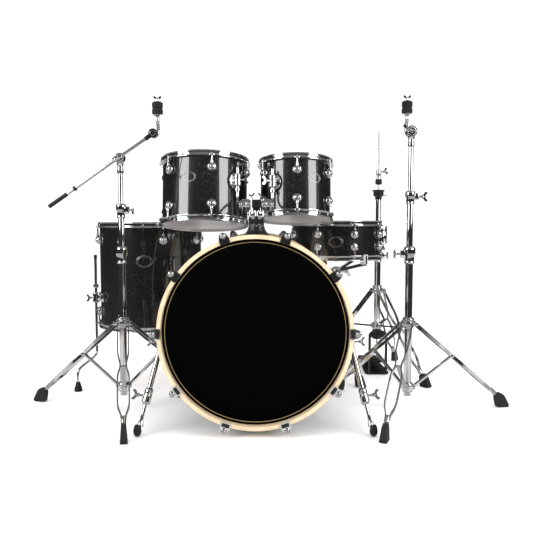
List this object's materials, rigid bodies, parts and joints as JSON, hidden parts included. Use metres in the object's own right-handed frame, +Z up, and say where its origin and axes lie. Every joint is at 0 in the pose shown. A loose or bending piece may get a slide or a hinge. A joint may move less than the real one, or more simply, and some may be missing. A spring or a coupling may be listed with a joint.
{
  "type": "acoustic drum kit",
  "caption": "Acoustic drum kit in black sparkle wrap: bass drum, rack toms, floor tom and snare, with chrome cymbal, snare and hi-hat stands.",
  "frame": {"origin": "bottom centre of the kit's bounding box, on the floor", "axes": "+Z up, +X to the right seen from the audience, +Y from the audience towards the drummer"},
  "size_m": [1.6772, 1.1548, 1.056],
  "materials": {
    "sparkle_wrap": "glossy black sparkle wrap",
    "maple_hoop": "satin lacquered maple",
    "chrome": "polished chrome plate",
    "black_film": "smooth black polyester film",
    "smoke_film": "hazy clear polyester film",
    "coated_film": "fine coated film",
    "felt": "pressed wool felt",
    "black_steel": "satin powder coat",
    "rubber": "matte moulded rubber",
    "grey_rubber": "matte moulded rubber"
  },
  "bodies": {
    "root": {"bass_batter_head": "coated_film", "bass_batter_hoop": "maple_hoop", "bass_front_head": "black_film", "bass_front_hoop": "maple_hoop", "bass_shell": "sparkle_wrap", "floor_tom_batter_head": "coated_film", "floor_tom_batter_hoop": "chrome", "floor_tom_reso_head": "smoke_film", "floor_tom_reso_hoop": "chrome", "floor_tom_shell": "sparkle_wrap", "hihat_base": "chrome", "hihat_frame": "black_steel", "left_stand_base": "chrome", "right_stand_base": "chrome", "snare_stand_base": "chrome", "tom_mount_base": "chrome"},
    "left_spur": {"left_spur": "chrome"},
    "right_spur": {"right_spur": "chrome"},
    "tom_post": {"tom_mount_post": "chrome"},
    "left_arm": {"left_tom_arm": "chrome"},
    "left_tom": {"left_tom_batter_head": "coated_film", "left_tom_batter_hoop": "chrome", "left_tom_bracket": "chrome", "left_tom_reso_head": "smoke_film", "left_tom_reso_hoop": "chrome", "left_tom_shell": "sparkle_wrap"},
    "right_arm": {"right_tom_arm": "chrome"},
    "right_tom": {"right_tom_batter_head": "coated_film", "right_tom_batter_hoop": "chrome", "right_tom_bracket": "chrome", "right_tom_reso_head": "smoke_film", "right_tom_reso_hoop": "chrome", "right_tom_shell": "sparkle_wrap"},
    "floor_leg_left": {"floor_tom_left_leg": "chrome"},
    "floor_leg_middle": {"floor_tom_middle_leg": "chrome"},
    "floor_leg_rear": {"floor_tom_rear_leg": "chrome"},
    "snare_upper": {"snare_stand_upper_tube": "chrome"},
    "snare": {"snare_batter_head": "coated_film", "snare_batter_hoop": "chrome", "snare_reso_head": "smoke_film", "snare_reso_hoop": "chrome", "snare_shell": "sparkle_wrap", "snare_stand_basket": "chrome", "snare_strainer": "chrome", "snare_wires": "chrome"},
    "throw_off": {"snare_throw_off_lever": "chrome"},
    "hihat_upper": {"hihat_upper_tube": "chrome"},
    "hihat_rod": {"hihat_pull_rod": "chrome"},
    "hihat_clutch": {"hihat_clutch": "felt"},
    "hihat_pedal": {"hihat_footboard": "black_steel"},
    "right_middle": {"right_stand_middle_tube": "chrome"},
    "right_top": {"right_stand_top_tube": "chrome"},
    "right_tilter": {"right_cymbal_tilter": "chrome", "right_cymbal_felts": "felt"},
    "left_middle": {"left_stand_middle_tube": "chrome"},
    "left_top": {"left_stand_top_tube": "chrome"},
    "boom_clamp": {"left_boom_clamp": "chrome"},
    "boom_arm": {"left_boom_arm": "chrome"},
    "left_tilter": {"left_cymbal_tilter": "chrome", "left_cymbal_felts": "felt"}
  },
  "joints": [
    {"name": "left_spur_fold", "type": "hinge", "parent": "root", "child": "left_spur", "pos_m": [-0.33349, -0.41106, 0.272], "axis": [1, 0, 0], "range_deg": [0, 45]},
    {"name": "right_spur_fold", "type": "hinge", "parent": "root", "child": "right_spur", "pos_m": [0.26351, -0.41106, 0.272], "axis": [1, 0, 0], "range_deg": [0, 45]},
    {"name": "tom_post_height", "type": "slide", "parent": "root", "child": "tom_post", "axis": [0, 0, 1], "range_m": [0, 0.06]},
    {"name": "left_tom_tilt", "type": "hinge", "parent": "tom_post", "child": "left_arm", "pos_m": [-0.07474, -0.33106, 0.705], "axis": [1, 0, 0], "range_deg": [-2, 8]},
    {"name": "left_tom_swivel", "type": "hinge", "parent": "left_arm", "child": "left_tom", "pos_m": [-0.1032, -0.18436, 0.79443], "axis": [0, 0.1392, 0.9903], "range_deg": [-3, 15]},
    {"name": "right_tom_tilt", "type": "hinge", "parent": "tom_post", "child": "right_arm", "pos_m": [0.00476, -0.33106, 0.705], "axis": [1, 0, 0], "range_deg": [-2, 8]},
    {"name": "right_tom_swivel", "type": "hinge", "parent": "right_arm", "child": "right_tom", "pos_m": [0.01706, -0.18687, 0.78965], "axis": [0, 0.1392, 0.9903], "range_deg": [-15, 3]},
    {"name": "floor_leg_left_height", "type": "slide", "parent": "root", "child": "floor_leg_left", "axis": [0, 0, 1], "range_m": [-0.1, 0]},
    {"name": "floor_leg_middle_height", "type": "slide", "parent": "root", "child": "floor_leg_middle", "axis": [0, 0, 1], "range_m": [-0.1, 0]},
    {"name": "floor_leg_rear_height", "type": "slide", "parent": "root", "child": "floor_leg_rear", "axis": [0, 0, 1], "range_m": [-0.1, 0]},
    {"name": "snare_height", "type": "slide", "parent": "root", "child": "snare_upper", "axis": [0, 0, 1], "range_m": [0, 0.08]},
    {"name": "snare_tilt", "type": "hinge", "parent": "snare_upper", "child": "snare", "pos_m": [0.28121, 0.21394, 0.44], "axis": [-0.9063, -0.4226, 0], "range_deg": [0, 8]},
    {"name": "throw_off_lever", "type": "hinge", "parent": "snare", "child": "throw_off", "pos_m": [0.48351, 0.20194, 0.564], "axis": [0, 1, 0], "range_deg": [0, 75]},
    {"name": "hihat_height", "type": "slide", "parent": "root", "child": "hihat_upper", "axis": [0, 0, 1], "range_m": [0, 0.12]},
    {"name": "hihat_pedal", "type": "hinge", "parent": "root", "child": "hihat_pedal", "pos_m": [0.46901, 0.51794, 0.026], "axis": [1, 0, 0], "range_deg": [0, 5], "stiffness_Nm_per_rad": 6, "springref_deg": -20.05},
    {"name": "hihat_pull", "type": "slide", "parent": "root", "child": "hihat_rod", "axis": [0, 0, -1], "range_m": [0, 0.00833], "stiffness_N_per_m": 150, "springref_m": -0.05},
    {"name": "hihat_clutch_height", "type": "slide", "parent": "hihat_rod", "child": "hihat_clutch", "axis": [0, 0, 1], "range_m": [0, 0.12]},
    {"name": "right_stand_middle_height", "type": "slide", "parent": "root", "child": "right_middle", "axis": [0, 0, 1], "range_m": [0, 0.2]},
    {"name": "right_stand_top_height", "type": "slide", "parent": "right_middle", "child": "right_top", "axis": [0, 0, 1], "range_m": [0, 0.2]},
    {"name": "left_stand_middle_height", "type": "slide", "parent": "root", "child": "left_middle", "axis": [0, 0, 1], "range_m": [0, 0.2]},
    {"name": "left_stand_top_height", "type": "slide", "parent": "left_middle", "child": "left_top", "axis": [0, 0, 1], "range_m": [0, 0.2]},
    {"name": "right_cymbal_tilt", "type": "hinge", "parent": "right_top", "child": "right_tilter", "pos_m": [0.48361, -0.23906, 0.953], "axis": [0, 1, 0], "range_deg": [-60, 60]},
    {"name": "boom_tilt", "type": "hinge", "parent": "left_top", "child": "boom_clamp", "pos_m": [-0.49799, -0.22906, 0.865], "axis": [0, 1, 0], "range_deg": [-40, 44]},
    {"name": "boom_reach", "type": "slide", "parent": "boom_clamp", "child": "boom_arm", "axis": [0.8237, 0, 0.567], "range_m": [-0.08, 0.15]},
    {"name": "left_cymbal_tilt", "type": "hinge", "parent": "boom_arm", "child": "left_tilter", "pos_m": [-0.37899, -0.26106, 0.944], "axis": [0, 1, 0], "range_deg": [-60, 60]}
  ],
  "couplings": [
    {"joint": "hihat_pull", "follows": "hihat_pedal", "m_per_rad": 0.095493},
    {"joint": "hihat_clutch_height", "follows": "hihat_height", "ratio": 1}
  ]
}
